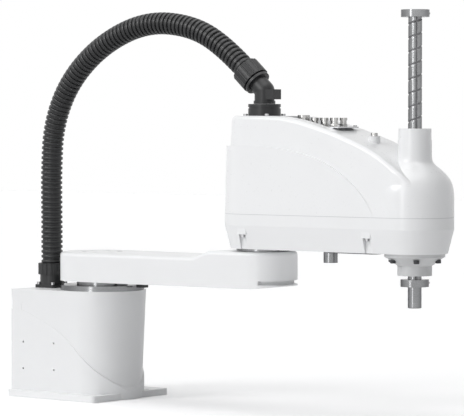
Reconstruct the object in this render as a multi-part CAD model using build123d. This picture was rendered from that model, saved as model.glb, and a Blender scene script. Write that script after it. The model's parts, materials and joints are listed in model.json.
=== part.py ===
from build123d import *
import os
from math import asin, cos, hypot, pi, radians, sin, tan

# Four-axis horizontal-jointed arm robot, shown with both arms in line.
# Millimetres. Z is up from the mounting face, X runs along the arms towards
# the tool shaft, and the origin is where the shoulder axis meets that face.

os.makedirs("parts", exist_ok=True)

# Reach of the two arms, axis to axis
INNER_REACH = 325.0
OUTER_REACH = 275.0

# Fits and seams
RUN = 0.3
SEAT = 0.1
SLIDE_FIT = 0.05

# Base casting
BASE_TOP = 169.0
BASE_BACK = 123.0
BASE_HALF_WIDTH = 78.0
BASE_FRONT_R = 69.0
BASE_DRAFT = 2.5
BASE_WALL = 9.0
SKIRT_FRONT_R = 66.0
SKIRT_TOP = 137.0
PLATE_LENGTH = 184.0
PLATE_WIDTH = 178.0
PLATE_THICK = 10.0
PLATE_CORNER_R = 6.0
MOUNT_PITCH_X = 150.0
MOUNT_PITCH_Y = 104.0
MOUNT_FRONT = 13.0
MOUNT_HOLE_R = 4.5
SIDE_HOLE_R = 1.65
SIDE_HOLE_DEPTH = 16.0
SIDE_HOLE_PITCH_X = 60.0
SIDE_HOLE_PITCH_Z = 42.0
SIDE_HOLE_BACK = 53.5
SIDE_HOLE_Z = 65.0

# Rear connector panel
PANEL_WIDTH = 124.0
PANEL_HEIGHT = 112.0
PANEL_THICK = 3.0
PANEL_BASE = 26.0
PANEL_LIP = 7.0

# Shoulder drive
RING_FLANGE_R = 66.0
RING_FLANGE_THICK = 8.0
RING_SPIGOT_R = 46.0
RING_SPIGOT_DEPTH = 14.0
HUB_R = 40.0
SHOULDER_MOTOR_SIDE = 60.0
SHOULDER_MOTOR_LENGTH = 78.0

# Inner arm
INNER_CLEARANCE = 15.0
INNER_DEPTH = 45.0
INNER_ROOT_R = 66.0
INNER_TIP_R = 50.0
INNER_BOSS_RISE = 10.5
INNER_WALL = 7.0
INNER_COVER_THICK = 2.0

# Outer arm casting and cover
ELBOW_GAP = 4.5
CASTING_DEPTH = 52.0
CASTING_FLOOR = 8.0
OUTER_REAR_R = 59.5
OUTER_NOSE_R = 56.6
CASTING_DRAFT_HEIGHT = 35.0
CASTING_DRAFT = 14.0
COVER_WALL = 3.0
COVER_DRAFT = 3.2
COVER_REAR_R = 56.5
COVER_TOP = 442.0
COVER_EDGE_R = 6.0
NECK_R = 24.5
NECK_CAP_R = 23.8
NECK_DROP = 35.0
NECK_CAP_HEIGHT = 16.5

# Tool shaft: a ball screw and spline in one
SHAFT_R = 10.0
SHAFT_BORE_R = 5.5
SHAFT_LENGTH = 429.0
SHAFT_DROP = 79.0
GROOVE_R = 1.5
RELIEF_GAP = 0.4
RELIEF_WIDTH = 1.0
RELIEF_DEPTH = 0.3
COLLAR_R = 20.6
COLLAR_THICK = 10.5
LOWER_COLLAR_DROP = 48.0
HUB_NOSE_R = 25.0
HUB_NOSE_DROP = 32.0
SPINDLE_FLANGE_R = 44.0

# Timing belts
BELT_WIDTH = 9.0
BELT_THICK = 1.6
TOOTH_PITCH = 5.0
NUT_PULLEY_TEETH = 32
MOTOR_PULLEY_TEETH = 16
PULLEY_FLANGE = 3.0
PULLEY_FLANGE_THICK = 1.0
TURN_BELT_RISE = 12.0
LIFT_BELT_RISE = 49.0
LIFT_MOTOR_REACH = 100.0
TURN_MOTOR_REACH = 198.0
AXIS_MOTOR_SIDE = 40.0

# Cable hose and its two fittings
HOSE_R = 17.0
HOSE_FOOT_BACK = 25.0
HOSE_FOOT_Y = -10.0
FOOT_FLANGE_SIDE = 40.0
FOOT_FLANGE_THICK = 5.0
FOOT_NECK_HEIGHT = 16.0
NUT_R = 22.0
NUT_LENGTH = 18.0
ELBOW_TILT = 42.0
ELBOW_RISE = 38.0
ELBOW_TUBE_R = 15.0

# Small controls and fittings on the cover's deck
BUTTON_R = 5.0
BUTTON_TRAVEL = 2.0

# Smaller sizes, grouped by the piece they belong to
PANEL_SCREW = 4.0
AIR_PITCH = 22.0
AIR_ROW_Z = 58.0
RING_SCREW = 5.0
RING_SCREW_CIRCLE_R = 56.0
ARM_SCREW = 6.0
ARM_SCREW_CIRCLE_R = 30.0
INNER_EDGE_R = 6.0
RISE_LENGTH = 42.0
RISE_BACK = 11.0
TIP_LIFT = 5.0
TIP_SLOT_START = 22.0
TIP_SLOT_LOW = 6.0
TIP_SLOT_HEIGHT = 6.5
TIP_SLOT_DEPTH = 9.0
STOP_X = 83.0
STOP_LENGTH = 16.0
STOP_WIDTH = 14.0
STOP_DEPTH = 9.0
ELBOW_RING_R = 38.0
ELBOW_RING_DEPTH = 30.0
ELBOW_HUB_R = 30.0
ELBOW_FLANGE_R = 42.0
CASTING_WALL = 6.0
SPIGOT_R = 30.0
CABLE_HOLE_R = 8.0
COVER_SCREW = 4.0
NOTCH_REAR = 2.0
NOTCH_FRONT = 47.0
NOTCH_WIDTH = 13.0
NOTCH_HEIGHT = 22.0
FALL_BACK = 20.0
FALL_FRONT = 45.0
SWEEP_DROP = 45.0
SHOULDER_DRAFT = 1.4
DECK_BACK = 107.0
DECK_LENGTH = 104.0
DECK_WIDTH = 52.0
DECK_DEPTH = 18.0
DECK_TILT = 0.0
DECK_PLATE_THICK = 2.0
DECK_FITTING_START = -4.0
DECK_FITTING_PITCH = 18.0
DECK_FITTING_ROW = 22.0
DECK_CONNECTOR_X = -33.0
BUTTON_REACH = 72.0
BUTTON_DROP = 44.0
BUTTON_GUIDE = 14.0
SPLINE_NUT_R = 17.0
SPLINE_BORE_R = 22.0
SCREW_NUT_R = 18.0
BEARING_WIDTH = 9.0
BRIDGE_THICK = 4.0
MOTOR_SHAFT_R = 4.0
HOSE_SOCKET = 40.0
HOSE_LEAD = 56.0
FOOT_SCREW = 4.0
FOOT_SCREW_EDGE = 5.0
NUT_FLUTES = 16
GLAND_R = 24.5
GLAND_HEIGHT = 17.6
ELBOW_NUT_START = 22.0
LATCH_X = 15.0
LATCH_Y = -2.0
LATCH_DROP = 6.0
LATCH_SIZE = (22.0, 18.0, 15.0)
STOP_PIN_R = 10.5
STOP_PIN_REACH = 124.0
BELLY_THICK = 2.0
BELLY_LENGTH = 90.0
BELLY_WIDTH = 70.0
BELLY_GAP = 1.0

# Curves of the cover, as shares of the length and height that each one fills
FALL_LINE = [
    (0.0, 0.0), (0.17, 0.0137), (0.34, 0.0822), (0.55, 0.2123), (0.7533, 0.3904), (0.8767, 0.5548),
    (1.0, 0.8082),
]
SWEEP_LINE = [(0.2545, 0.0297), (0.4473, 0.1287), (0.5709, 0.2475), (0.7455, 0.5446)]
SWEEP_REACH = 0.8727
SWEEP_END = 5.0
NOSE_LINE = [(1.0, 0.0721, 0), (0.8037, 0.4955, 0.5), (0.4393, 0.6126, 1), (0.109, 0.6937, 1), (0.0, 0.8288, 0)]

# Control points of the hose's arch, as shares of its span and of its rise to the elbow
HOSE_ARCH = [
    (0.0, 0.2455), (-0.0024, 0.5215), (0.0095, 0.816), (0.0945, 1.0736), (0.2552, 1.2797),
    (0.4656, 1.3975), (0.6783, 1.3644),
]

# Places that follow from the sizes above
TOOL_X = INNER_REACH + OUTER_REACH
INNER_BOTTOM = BASE_TOP + INNER_CLEARANCE
INNER_TOP = INNER_BOTTOM + INNER_DEPTH
BOSS_TOP = INNER_TOP + INNER_BOSS_RISE
OUTER_BOTTOM = BOSS_TOP + ELBOW_GAP
SEAM = OUTER_BOTTOM + CASTING_DEPTH
FLOOR_TOP = OUTER_BOTTOM + CASTING_FLOOR
FOOT_NUT_BASE = BASE_TOP + FOOT_FLANGE_THICK + FOOT_NECK_HEIGHT
HOSE_FOOT = FOOT_NUT_BASE + NUT_LENGTH
GLAND_TOP = COVER_TOP + GLAND_HEIGHT
ELBOW_HEIGHT = COVER_TOP + ELBOW_RISE
DECK_Z = COVER_TOP - DECK_DEPTH
SWEEP_TOP = COVER_TOP - SWEEP_DROP
NECK_CAP_BASE = COVER_TOP - NECK_DROP
BUTTON_SEAT = COVER_TOP - BUTTON_DROP
TURN_BELT_Z = FLOOR_TOP + TURN_BELT_RISE
LIFT_BELT_Z = FLOOR_TOP + LIFT_BELT_RISE
SHAFT_FOOT = OUTER_BOTTOM - SHAFT_DROP
LOWER_COLLAR_BASE = OUTER_BOTTOM - LOWER_COLLAR_DROP
HUB_NOSE_FOOT = OUTER_BOTTOM - HUB_NOSE_DROP
PLATE_X = PLATE_LENGTH / 2 - BASE_BACK
MOUNT_X = PLATE_LENGTH - BASE_BACK - MOUNT_FRONT - MOUNT_PITCH_X / 2
SIDE_HOLE_X = SIDE_HOLE_BACK - BASE_BACK
HOSE_FOOT_X = HOSE_FOOT_BACK - BASE_BACK
RISE_END = INNER_REACH - INNER_TIP_R - RISE_BACK
RISE_START = RISE_END - RISE_LENGTH
NOTCH_REAR_X = INNER_REACH + NOTCH_REAR
NOTCH_FRONT_X = TOOL_X - NOTCH_FRONT
FALL_X = INNER_REACH + FALL_BACK
FALL_LENGTH = TOOL_X + FALL_FRONT - FALL_X
DECK_X = INNER_REACH + DECK_BACK
BUTTON_X = TOOL_X - BUTTON_REACH
STOP_PIN_X = INNER_REACH + STOP_PIN_REACH
LIFT_MOTOR_X = TOOL_X - LIFT_MOTOR_REACH
TURN_MOTOR_X = TOOL_X - TURN_MOTOR_REACH
BELLY_X = TOOL_X - SPINDLE_FLANGE_R - BELLY_GAP - BELLY_LENGTH / 2
NUT_PULLEY_R = NUT_PULLEY_TEETH * TOOTH_PITCH / (2 * pi)
MOTOR_PULLEY_R = MOTOR_PULLEY_TEETH * TOOTH_PITCH / (2 * pi)


# Shared shapes


def disc(radius, low, high, x=0.0, y=0.0):
    """An upright cylinder from one height to another."""
    return Pos(x, y, low) * extrude(Circle(radius), amount=high - low)


def ring(outer, inner, low, high, x=0.0, y=0.0):
    """An upright tube."""
    return Pos(x, y, low) * extrude(Circle(outer) - Circle(inner), amount=high - low)


def block(x_size, y_size, low, high, x=0.0, y=0.0, corner=0.0):
    """An upright block, with rounded upright edges if a corner is given."""
    plan = RectangleRounded(x_size, y_size, corner) if corner else Rectangle(x_size, y_size)
    return Pos(x, y, low) * extrude(plan, amount=high - low)


def arm_plan(root_r, root_x, tip_r, tip_x):
    """Plan of an arm: two round ends and the straight sides that touch them."""
    lean = asin((root_r - tip_r) / (tip_x - root_x))
    root = (root_x + root_r * sin(lean), root_r * cos(lean))
    tip = (tip_x + tip_r * sin(lean), tip_r * cos(lean))
    root_low, tip_low = (root[0], -root[1]), (tip[0], -tip[1])
    return make_face([
        ThreePointArc(root, (root_x - root_r, 0), root_low),
        Line(root_low, tip_low),
        ThreePointArc(tip_low, (tip_x + tip_r, 0), tip),
        Line(tip, root),
    ])


def base_plan(front_r, half_width, back):
    """Plan of the base: a round front and a square back, joined by straight sides."""
    rear = Pos(-back + 1, 0) * Rectangle(2, 2 * half_width)
    return make_hull(Circle(front_r).edges() + rear.edges())


def side_slab(outline, half_width):
    """A side view outline in X and Z, made as wide as the part needs."""
    return extrude(Plane.XZ * outline, amount=half_width, both=True)


def circle_places(count, radius, x=0.0, y=0.0, start=0.0):
    """Evenly spaced places on a circle."""
    for i in range(count):
        angle = radians(start + 360.0 * i / count)
        yield x + radius * cos(angle), y + radius * sin(angle)


def cap_screw(size, length, top, x, y):
    """A socket head screw standing upright, its head ending at the given height."""
    head_r, socket = 0.75 * size, 0.8 * size
    body = disc(head_r, top - size, top, x, y) + disc(size / 2, top - size - length, top - size, x, y)
    return body - Pos(x, y, top - size / 2) * extrude(RegularPolygon(socket / 2, 6), amount=size)


def only(shape):
    """The single solid that a shape holds."""
    return shape.solids()[0]


# Base


def skirt_outline():
    """Side view of the base's lower skirt, which sweeps down towards the front."""
    sweep_line = Spline(
        (-BASE_BACK + 14, SKIRT_TOP),
        (-73, 125),
        (-37, 108),
        (-2, 81),
        (34, 46),
        (SKIRT_FRONT_R + 2, PLATE_THICK),
        tangents=[(1, -0.1), (0.6, -1)],
    )
    back = Polyline(
        (SKIRT_FRONT_R + 2, PLATE_THICK),
        (SKIRT_FRONT_R + 2, 0),
        (-BASE_BACK - 1, 0),
        (-BASE_BACK - 1, SKIRT_TOP),
        (-BASE_BACK + 14, SKIRT_TOP),
    )
    return make_face(sweep_line.edges() + back.edges())


def base_casting():
    """Foot plate, hollow housing and sweeping skirt in one casting."""
    height = BASE_TOP - PLATE_THICK
    housing = Pos(0, 0, BASE_TOP) * extrude(
        base_plan(BASE_FRONT_R, BASE_HALF_WIDTH, BASE_BACK), amount=-height, taper=BASE_DRAFT
    )
    rear_trim = block(40, 3 * BASE_HALF_WIDTH, 0, BASE_TOP, -BASE_BACK - 20)
    skirt = extrude(base_plan(SKIRT_FRONT_R, BASE_HALF_WIDTH, BASE_BACK), amount=SKIRT_TOP)
    skirt = skirt & side_slab(skirt_outline(), 2 * BASE_HALF_WIDTH)
    plate = block(PLATE_LENGTH, PLATE_WIDTH, 0, PLATE_THICK, PLATE_X, 0, PLATE_CORNER_R)
    rear_fill = block(
        20, 2 * BASE_HALF_WIDTH - 4, PLATE_THICK, BASE_TOP, -BASE_BACK + 10
    )
    body = housing + skirt + plate + rear_fill - rear_trim
    inner = base_plan(
        BASE_FRONT_R - BASE_WALL - 8, BASE_HALF_WIDTH - BASE_WALL - 8, BASE_BACK - BASE_WALL
    )
    body -= Pos(0, 0, PLATE_THICK) * extrude(inner, amount=height - BASE_WALL)
    middle = PANEL_BASE + PANEL_HEIGHT / 2
    opening = Box(4 * BASE_WALL, PANEL_WIDTH - 2 * PANEL_LIP, PANEL_HEIGHT - 2 * PANEL_LIP)
    recess = Box(2 * PANEL_THICK, PANEL_WIDTH + 2 * SEAT, PANEL_HEIGHT + 2 * SEAT)
    body -= Pos(-BASE_BACK, 0, middle) * opening
    body -= Pos(-BASE_BACK, 0, middle) * recess
    body -= disc(RING_SPIGOT_R + SEAT, BASE_TOP - 2 * BASE_WALL, BASE_TOP + 1)
    for x in (MOUNT_X - MOUNT_PITCH_X / 2, MOUNT_X + MOUNT_PITCH_X / 2):
        for y in (-MOUNT_PITCH_Y / 2, MOUNT_PITCH_Y / 2):
            body -= disc(MOUNT_HOLE_R, -1, PLATE_THICK + 1, x, y)
    hole = Rot(90, 0, 0) * Cylinder(SIDE_HOLE_R, 2 * SIDE_HOLE_DEPTH)
    for side in (-1, 1):
        for x in (-0.5, 0.5):
            for z in (-0.5, 0.5):
                place = (
                    SIDE_HOLE_X + x * SIDE_HOLE_PITCH_X,
                    side * BASE_HALF_WIDTH,
                    SIDE_HOLE_Z + z * SIDE_HOLE_PITCH_Z,
                )
                body -= Pos(*place) * hole
    foot_hole = disc(HOSE_R - 4, BASE_TOP - 2 * BASE_WALL, BASE_TOP + 1, HOSE_FOOT_X, HOSE_FOOT_Y)
    return only(body - foot_hole)


def rod_x(radius, low, high, y, z):
    """A cylinder lying along X."""
    return Pos((low + high) / 2, y, z) * Rot(0, 90, 0) * Cylinder(radius, high - low)


def panel_places():
    """Corner places of the rear panel's screws, in Y and Z."""
    middle = PANEL_BASE + PANEL_HEIGHT / 2
    for y in (-1, 1):
        for z in (-1, 1):
            yield (
                y * (PANEL_WIDTH / 2 - PANEL_LIP / 2),
                middle + z * (PANEL_HEIGHT / 2 - PANEL_LIP / 2),
            )


def rear_panel():
    """Flat plate that closes the back of the base and carries the connectors."""
    middle = PANEL_BASE + PANEL_HEIGHT / 2
    plate = Box(PANEL_THICK, PANEL_WIDTH, PANEL_HEIGHT)
    panel = Pos(PANEL_THICK / 2 - BASE_BACK, 0, middle) * plate
    for y, z in panel_places():
        panel -= rod_x(PANEL_SCREW / 2 + SEAT, -BASE_BACK - 1, -BASE_BACK + PANEL_THICK + 1, y, z)
    return only(panel)


def panel_screws():
    """Button head screws at the corners of the rear panel."""
    screws = []
    for y, z in panel_places():
        head = rod_x(0.85 * PANEL_SCREW, -BASE_BACK - 0.55 * PANEL_SCREW, -BASE_BACK, y, z)
        shank = rod_x(PANEL_SCREW / 2, -BASE_BACK, -BASE_BACK + PANEL_THICK, y, z)
        screws.append(only(head + shank))
    return screws


def panel_connector(width, height, depth, pins, y, z):
    """Rectangular connector on the rear panel: flange, shell and a recessed pin field."""
    face = -BASE_BACK
    flange = Pos(face - 1, y, z) * Box(2, width + 10, height + 6)
    shell = Pos(face - 2 - depth / 2, y, z) * Box(depth, width, height)
    well = Pos(face - 2 - depth / 2 - 2, y, z) * Box(depth, width - 4, height - 4)
    body = flange + shell - well
    for i in range(pins):
        pin_y = y + (i - (pins - 1) / 2) * (width - 10) / max(pins - 1, 1)
        body += rod_x(0.9, face - depth, face - 2, pin_y, z)
    return only(body)


def panel_air_fittings():
    """Push-in air fittings in a row along the bottom of the rear panel."""
    fittings = []
    for y in (-AIR_PITCH, 0, AIR_PITCH):
        face = -BASE_BACK
        nut = Pos(face, y, AIR_ROW_Z) * Rot(0, -90, 0) * extrude(RegularPolygon(7, 6), amount=5)
        body = nut + rod_x(5.2, face - 11, face - 5, y, AIR_ROW_Z)
        body += rod_x(6.0, face - 14, face - 11, y, AIR_ROW_Z)
        fittings.append(only(body - rod_x(3.0, face - 15, face - 5, y, AIR_ROW_Z)))
    return fittings


# Shoulder drive


def shoulder_reducer():
    """Fixed ring of the shoulder's reducer, seated in the base's top bore."""
    top = BASE_TOP + RING_FLANGE_THICK
    body = ring(RING_FLANGE_R, HUB_R + RUN, BASE_TOP, top)
    body += ring(RING_SPIGOT_R, HUB_R + RUN, BASE_TOP - RING_SPIGOT_DEPTH, BASE_TOP)
    for x, y in circle_places(8, RING_SCREW_CIRCLE_R, start=22.5):
        body -= disc(RING_SCREW / 2 + SEAT, BASE_TOP - 1, top + 1, x, y)
        body -= disc(0.75 * RING_SCREW + 2 * SEAT, top - RING_SCREW, top + 1, x, y)
    return only(body)


def shoulder_ring_screws():
    """Socket head screws that hold the reducer's ring to the base."""
    top = BASE_TOP + RING_FLANGE_THICK
    return [
        only(cap_screw(RING_SCREW, RING_FLANGE_THICK - RING_SCREW, top, x, y))
        for x, y in circle_places(8, RING_SCREW_CIRCLE_R, start=22.5)
    ]


def shoulder_motor():
    """Shoulder motor hung under the reducer inside the base."""
    top = BASE_TOP - RING_SPIGOT_DEPTH
    body = disc(RING_SPIGOT_R, top - 6, top)
    body += block(
        SHOULDER_MOTOR_SIDE, SHOULDER_MOTOR_SIDE, top - SHOULDER_MOTOR_LENGTH, top - 6, corner=5
    )
    return only(body)


def shoulder_hub():
    """Turning output of the shoulder's reducer, under the inner arm."""
    return only(disc(HUB_R, BASE_TOP - RING_SPIGOT_DEPTH + 1, INNER_BOTTOM))


# Inner arm


def inner_arm_outline():
    """Side view of the inner arm, with the rise to the elbow boss and the lifted tip."""
    back, front = -INNER_ROOT_R - 1, INNER_REACH + INNER_TIP_R + 1
    rise = Spline(
        (RISE_START, INNER_TOP), (RISE_END, BOSS_TOP), tangents=[(1, 0), (1, 0)]
    )
    rest = Polyline(
        (RISE_END, BOSS_TOP),
        (front, BOSS_TOP),
        (front, INNER_BOTTOM + TIP_LIFT),
        (INNER_REACH + 10, INNER_BOTTOM),
        (back, INNER_BOTTOM),
        (back, INNER_TOP),
        (RISE_START, INNER_TOP),
    )
    return make_face(rise.edges() + rest.edges())


def inner_cover_plan(inset):
    """Plan of the long pocket under the inner arm, less a wall."""
    plan = arm_plan(INNER_ROOT_R - inset, 0, INNER_TIP_R - inset, INNER_REACH)
    length = INNER_REACH - HUB_R - ELBOW_RING_R - 4 * INNER_WALL
    middle = (INNER_REACH + HUB_R - ELBOW_RING_R) / 2
    return plan & (Pos(middle, 0) * RectangleRounded(length - 2 * inset, 4 * INNER_ROOT_R, 4))


def inner_arm():
    """Cast inner arm: rounded beam with a ribbed pocket below and a bore at the elbow."""
    plan = arm_plan(INNER_ROOT_R, 0, INNER_TIP_R, INNER_REACH)
    body = Pos(0, 0, INNER_BOTTOM) * extrude(plan, amount=BOSS_TOP - INNER_BOTTOM)
    body = body & side_slab(inner_arm_outline(), 2 * INNER_ROOT_R)
    top_edges = [
        e for e in body.edges()
        if e.center().Z > INNER_TOP - 1 and abs(e.center().Z - e.bounding_box().max.Z) < 6
    ]
    body = fillet([e for e in top_edges if is_rim(e)], INNER_EDGE_R)
    mouth = Pos(0, 0, INNER_BOTTOM) * extrude(inner_cover_plan(INNER_WALL), amount=INNER_COVER_THICK)
    pocket = Pos(0, 0, INNER_BOTTOM) * extrude(
        inner_cover_plan(INNER_WALL + 4), amount=INNER_DEPTH - INNER_WALL
    )
    rib = block(INNER_WALL, 200, INNER_BOTTOM + INNER_COVER_THICK, INNER_TOP, INNER_REACH / 2)
    body -= mouth + (pocket - rib)
    body -= disc(ELBOW_RING_R + SEAT, BOSS_TOP - ELBOW_RING_DEPTH, BOSS_TOP + 1, INNER_REACH)
    slot_low = INNER_BOTTOM + TIP_SLOT_LOW
    slot = ring(INNER_TIP_R + 5, INNER_TIP_R - TIP_SLOT_DEPTH, slot_low, slot_low + TIP_SLOT_HEIGHT, INNER_REACH)
    beyond = INNER_REACH + TIP_SLOT_START + INNER_TIP_R
    body -= slot & block(2 * INNER_TIP_R, 4 * INNER_TIP_R, INNER_BOTTOM, INNER_TOP, beyond)
    for x, y in circle_places(8, ARM_SCREW_CIRCLE_R, start=22.5):
        body -= disc(ARM_SCREW / 2 + SEAT, INNER_BOTTOM - 1, INNER_TOP + 1, x, y)
        body -= disc(0.75 * ARM_SCREW + 4 * SEAT, INNER_TOP - ARM_SCREW - 1, INNER_TOP + 1, x, y)
    return only(body)


def is_rim(edge):
    """Whether an edge runs round the arm's top, and not across it."""
    box = edge.bounding_box()
    across = box.size.X < 0.5 and box.size.Y > INNER_TIP_R
    return not across


def inner_arm_screws():
    """Screws that hold the inner arm down on the shoulder's hub."""
    top = INNER_TOP - 1
    return [
        only(cap_screw(ARM_SCREW, INNER_DEPTH - 1 - ARM_SCREW, top, x, y))
        for x, y in circle_places(8, ARM_SCREW_CIRCLE_R, start=22.5)
    ]


def inner_cover():
    """Thin plate that closes the inner arm's pocket from below."""
    plan = offset(inner_cover_plan(INNER_WALL), -SEAT)
    return only(Pos(0, 0, INNER_BOTTOM) * extrude(plan, amount=INNER_COVER_THICK))


def shoulder_stop():
    """Stop block under the inner arm, ahead of the base."""
    low = INNER_BOTTOM - STOP_DEPTH
    return only(block(STOP_LENGTH, STOP_WIDTH, low, INNER_BOTTOM, STOP_X, 0, 3))


def elbow_reducer():
    """Fixed ring of the elbow's reducer, seated in the tip of the inner arm."""
    low = BOSS_TOP - ELBOW_RING_DEPTH
    body = disc(ELBOW_RING_R, low, BOSS_TOP, INNER_REACH)
    return only(body - disc(ELBOW_HUB_R + RUN, low + 5, BOSS_TOP + 1, INNER_REACH))


# Outer arm


def elbow_hub():
    """Turning output of the elbow's reducer, bolted under the outer arm."""
    body = disc(ELBOW_HUB_R, BOSS_TOP - ELBOW_RING_DEPTH + 6, OUTER_BOTTOM, INNER_REACH)
    return only(body + disc(ELBOW_FLANGE_R, BOSS_TOP + 3 * RUN, OUTER_BOTTOM, INNER_REACH))


def casting_plan(inset):
    """Plan of the outer arm, less an inset."""
    return arm_plan(OUTER_REAR_R - inset, INNER_REACH, OUTER_NOSE_R - inset, TOOL_X)


def notch_places():
    """Places of the cover screws in the sides of the outer arm, with the side each is on."""
    for x, half in ((NOTCH_REAR_X, OUTER_REAR_R), (NOTCH_FRONT_X, OUTER_NOSE_R)):
        for side in (-1, 1):
            yield x, side * (half - CASTING_WALL / 2 + 0.4), side


def outer_casting():
    """Cast lower half of the outer arm: drafted belly, floor, bores and screw notches."""
    middle = OUTER_BOTTOM + CASTING_DRAFT_HEIGHT
    body = Pos(0, 0, middle) * extrude(casting_plan(0), amount=SEAM - middle)
    body += Pos(0, 0, middle) * extrude(
        casting_plan(0), amount=-CASTING_DRAFT_HEIGHT, taper=CASTING_DRAFT
    )
    lower_wall = CASTING_WALL + CASTING_DRAFT_HEIGHT * tan(radians(CASTING_DRAFT))
    body -= Pos(0, 0, FLOOR_TOP) * extrude(casting_plan(lower_wall), amount=SEAM)
    body -= Pos(0, 0, middle) * extrude(casting_plan(CASTING_WALL), amount=SEAM)
    body -= disc(SPIGOT_R + SEAT, OUTER_BOTTOM - 1, FLOOR_TOP + 1, TOOL_X)
    body -= disc(CABLE_HOLE_R, OUTER_BOTTOM - 1, FLOOR_TOP + 1, (INNER_REACH + TOOL_X) / 2 + 60, 25)
    for x, y, side in notch_places():
        boss = disc(2.2 * COVER_SCREW, OUTER_BOTTOM + NOTCH_HEIGHT, SEAM, x, y - side * 2)
        body += boss & (Pos(0, 0, OUTER_BOTTOM) * extrude(casting_plan(1), amount=CASTING_DEPTH))
        notch = block(NOTCH_WIDTH, 24, OUTER_BOTTOM - 1, OUTER_BOTTOM + NOTCH_HEIGHT, x, y + side * 4)
        body -= notch
        body -= disc(COVER_SCREW / 2 + SEAT, OUTER_BOTTOM, SEAM + 1, x, y - side * 2)
    return only(body)


def cover_screws():
    """Screws that stand in the side notches and hold the cover from below."""
    screws = []
    for x, y, side in notch_places():
        seat = OUTER_BOTTOM + NOTCH_HEIGHT
        head = disc(0.75 * COVER_SCREW, seat - COVER_SCREW, seat, x, y - side * 2)
        shank = disc(COVER_SCREW / 2, seat, SEAM, x, y - side * 2)
        socket = Pos(x, y - side * 2, seat - COVER_SCREW) * extrude(
            RegularPolygon(0.4 * COVER_SCREW, 6), amount=COVER_SCREW / 2
        )
        screws.append(only(head + shank - socket))
    return screws


def cover_outline(inset):
    """Side view of the cover: level at the back, then falling in one curve to the nose."""
    back, top = INNER_REACH - OUTER_REAR_R - 5, COVER_TOP - inset
    points = [
        (FALL_X + along * FALL_LENGTH, top - drop * (COVER_TOP - SEAM)) for along, drop in FALL_LINE
    ]
    front = points[-1][0]
    fall = Spline(*points, tangents=[(1, 0), (0.6, -1)])
    rest = Polyline(points[-1], (front, SEAM - 1), (back, SEAM - 1), (back, top), points[0])
    return make_face(fall.edges() + rest.edges())


def shoulder_outline(inset):
    """Side view of the cover's wider lower body, whose top edge sweeps down and fades out."""
    back, top = INNER_REACH - OUTER_REAR_R - 5, SWEEP_TOP - inset
    points = [(back, top)] + [
        (INNER_REACH + along * OUTER_REACH, top - drop * (SWEEP_TOP - SEAM)) for along, drop in SWEEP_LINE
    ]
    end = (INNER_REACH + SWEEP_REACH * OUTER_REACH, SEAM + SWEEP_END)
    sweep_line = Spline(*points, end, tangents=[(1, 0), (0.5, -1)])
    rest = Polyline(end, (end[0], SEAM - 1), (back, SEAM - 1), (back, top))
    return make_face(sweep_line.edges() + rest.edges())


def nose_profile(inset):
    """Half section of the round nose and its neck, measured from the tool axis."""
    wide, neck = OUTER_NOSE_R - inset, NECK_R - inset
    rise, fall = NECK_CAP_BASE - SEAM, OUTER_NOSE_R - NECK_R
    points = [
        (neck + out * fall, SEAM + up * rise - sunk * inset) for out, up, sunk in NOSE_LINE
    ]
    low = SEAM - 0.5 * inset
    curve = Spline(*points, tangents=[(0, 1), (0, 1)])
    rest = Polyline(points[-1], (neck, NECK_CAP_BASE), (0, NECK_CAP_BASE), (0, low), (wide, low), points[0])
    return make_face(curve.edges() + rest.edges())


def cover_form(inset):
    """The cover's outer form, or the space inside it when an inset is given."""
    draft_height = COVER_TOP - SEAM + 4
    start = SEAM - 0.5 * inset
    upper = Pos(0, 0, start) * extrude(
        arm_plan(COVER_REAR_R - inset, INNER_REACH, OUTER_NOSE_R - inset, TOOL_X),
        amount=draft_height, taper=COVER_DRAFT,
    )
    upper = upper & side_slab(cover_outline(inset), 2 * OUTER_REAR_R)
    if inset == 0:
        rims = [e for e in upper.edges() if e.center().Z > SEAM + 60 and not is_upright(e)]
        upper = fillet(rims, COVER_EDGE_R)
    lower = Pos(0, 0, start) * extrude(
        arm_plan(OUTER_REAR_R - inset, INNER_REACH, OUTER_NOSE_R - inset, TOOL_X),
        amount=SWEEP_TOP - SEAM + 4, taper=SHOULDER_DRAFT,
    )
    lower = lower & side_slab(shoulder_outline(inset), 2 * OUTER_REAR_R)
    nose = Pos(TOOL_X, 0, 0) * revolve(Plane.XZ * nose_profile(inset), Axis.Z)
    return upper + lower + nose


def is_upright(edge):
    """Whether an edge stands upright, or crosses the cover from side to side."""
    box = edge.bounding_box()
    return box.size.Z > 60 or (box.size.X < 0.5 and box.size.Y > OUTER_NOSE_R)


def deck_frame():
    """Place of the deck, which slopes with the cover."""
    return Pos(DECK_X, 0, DECK_Z) * Rot(0, DECK_TILT, 0)


def outer_cover():
    """Moulded upper cover of the outer arm, with its deck recess and button boss."""
    outer = cover_form(0)
    body = outer - cover_form(COVER_WALL)
    tray = block(DECK_LENGTH + 2 * COVER_WALL, DECK_WIDTH + 2 * COVER_WALL, -COVER_WALL, DECK_DEPTH, corner=6)
    body += (deck_frame() * tray) & outer
    body -= deck_frame() * block(DECK_LENGTH, DECK_WIDTH, 0, 2 * DECK_DEPTH, corner=4)
    boss = disc(BUTTON_R + 4, BUTTON_SEAT - 3, BUTTON_SEAT + BUTTON_GUIDE, BUTTON_X)
    body += boss
    body -= disc(BUTTON_R + RUN, BUTTON_SEAT, BUTTON_SEAT + BUTTON_GUIDE + 1, BUTTON_X)
    body -= disc(HOSE_R - 4, SEAM + 20, COVER_TOP + 1, INNER_REACH)
    body -= disc(NECK_R - COVER_WALL, SEAM, NECK_CAP_BASE + 1, TOOL_X)
    return only(body)


def neck_cap():
    """Collar that closes the neck round the tool shaft."""
    top = NECK_CAP_BASE + NECK_CAP_HEIGHT
    return only(ring(NECK_CAP_R, SHAFT_R + 0.5, NECK_CAP_BASE, top, TOOL_X))


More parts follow.
